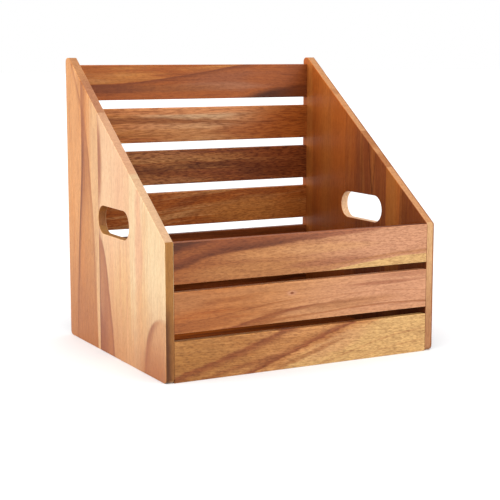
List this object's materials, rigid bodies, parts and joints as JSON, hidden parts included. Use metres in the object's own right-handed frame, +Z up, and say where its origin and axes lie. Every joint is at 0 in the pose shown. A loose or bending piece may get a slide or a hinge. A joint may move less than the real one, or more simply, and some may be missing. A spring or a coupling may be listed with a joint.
{
  "type": "slatted wooden display crate",
  "caption": "Open wooden display crate with sloping solid sides, oblong hand holes, a high slatted back and a low slatted front.",
  "frame": {"origin": "centre of the footprint, on the surface that the crate stands on", "axes": "+X to the crate's right as seen from its low front, +Y from the low front towards the high back, +Z up"},
  "size_m": [0.35, 0.2894, 0.3465],
  "materials": {
    "acacia_cream": "oiled, satin",
    "acacia_sand": "oiled, satin",
    "acacia_amber": "oiled, satin",
    "acacia_tan": "oiled, satin",
    "acacia_russet": "oiled, satin",
    "acacia_brown": "oiled, satin",
    "beech": "bare, hidden in its holes"
  },
  "bodies": {
    "root": {"back_slat_1": "acacia_russet", "back_slat_2": "acacia_russet", "back_slat_3": "acacia_russet", "back_slat_4": "acacia_russet", "back_slat_5": "acacia_russet", "back_slat_6": "acacia_russet", "base_stave_back": "acacia_brown", "base_stave_front": "acacia_brown", "base_stave_middle": "acacia_brown", "dowel_back_slat_1_left_lower": "beech", "dowel_back_slat_1_left_upper": "beech", "dowel_back_slat_1_right_lower": "beech", "dowel_back_slat_1_right_upper": "beech", "dowel_back_slat_2_left_lower": "beech", "dowel_back_slat_2_left_upper": "beech", "dowel_back_slat_2_right_lower": "beech", "dowel_back_slat_2_right_upper": "beech", "dowel_back_slat_3_left_lower": "beech", "dowel_back_slat_3_left_upper": "beech", "dowel_back_slat_3_right_lower": "beech", "dowel_back_slat_3_right_upper": "beech", "dowel_back_slat_4_left_lower": "beech", "dowel_back_slat_4_left_upper": "beech", "dowel_back_slat_4_right_lower": "beech", "dowel_back_slat_4_right_upper": "beech", "dowel_back_slat_5_left_lower": "beech", "dowel_back_slat_5_left_upper": "beech", "dowel_back_slat_5_right_lower": "beech", "dowel_back_slat_5_right_upper": "beech", "dowel_back_slat_6_left_lower": "beech", "dowel_back_slat_6_left_upper": "beech", "dowel_back_slat_6_right_lower": "beech", "dowel_back_slat_6_right_upper": "beech", "dowel_base_stave_back_left": "beech", "dowel_base_stave_back_right": "beech", "dowel_base_stave_front_left": "beech", "dowel_base_stave_front_right": "beech", "dowel_base_stave_middle_left": "beech", "dowel_base_stave_middle_right": "beech", "dowel_front_slat_1_left_lower": "beech", "dowel_front_slat_1_left_upper": "beech", "dowel_front_slat_1_right_lower": "beech", "dowel_front_slat_1_right_upper": "beech", "dowel_front_slat_2_left_lower": "beech", "dowel_front_slat_2_left_upper": "beech", "dowel_front_slat_2_right_lower": "beech", "dowel_front_slat_2_right_upper": "beech", "dowel_front_slat_3_left_lower": "beech", "dowel_front_slat_3_left_upper": "beech", "dowel_front_slat_3_right_lower": "beech", "dowel_front_slat_3_right_upper": "beech", "front_slat_1": "acacia_tan", "front_slat_2": "acacia_tan", "front_slat_3": "acacia_tan", "left_panel_stave_back": "acacia_amber", "left_panel_stave_front": "acacia_cream", "left_panel_stave_middle": "acacia_sand", "right_panel_stave_back": "acacia_amber", "right_panel_stave_front": "acacia_cream", "right_panel_stave_middle": "acacia_sand"}
  },
  "joints": []
}
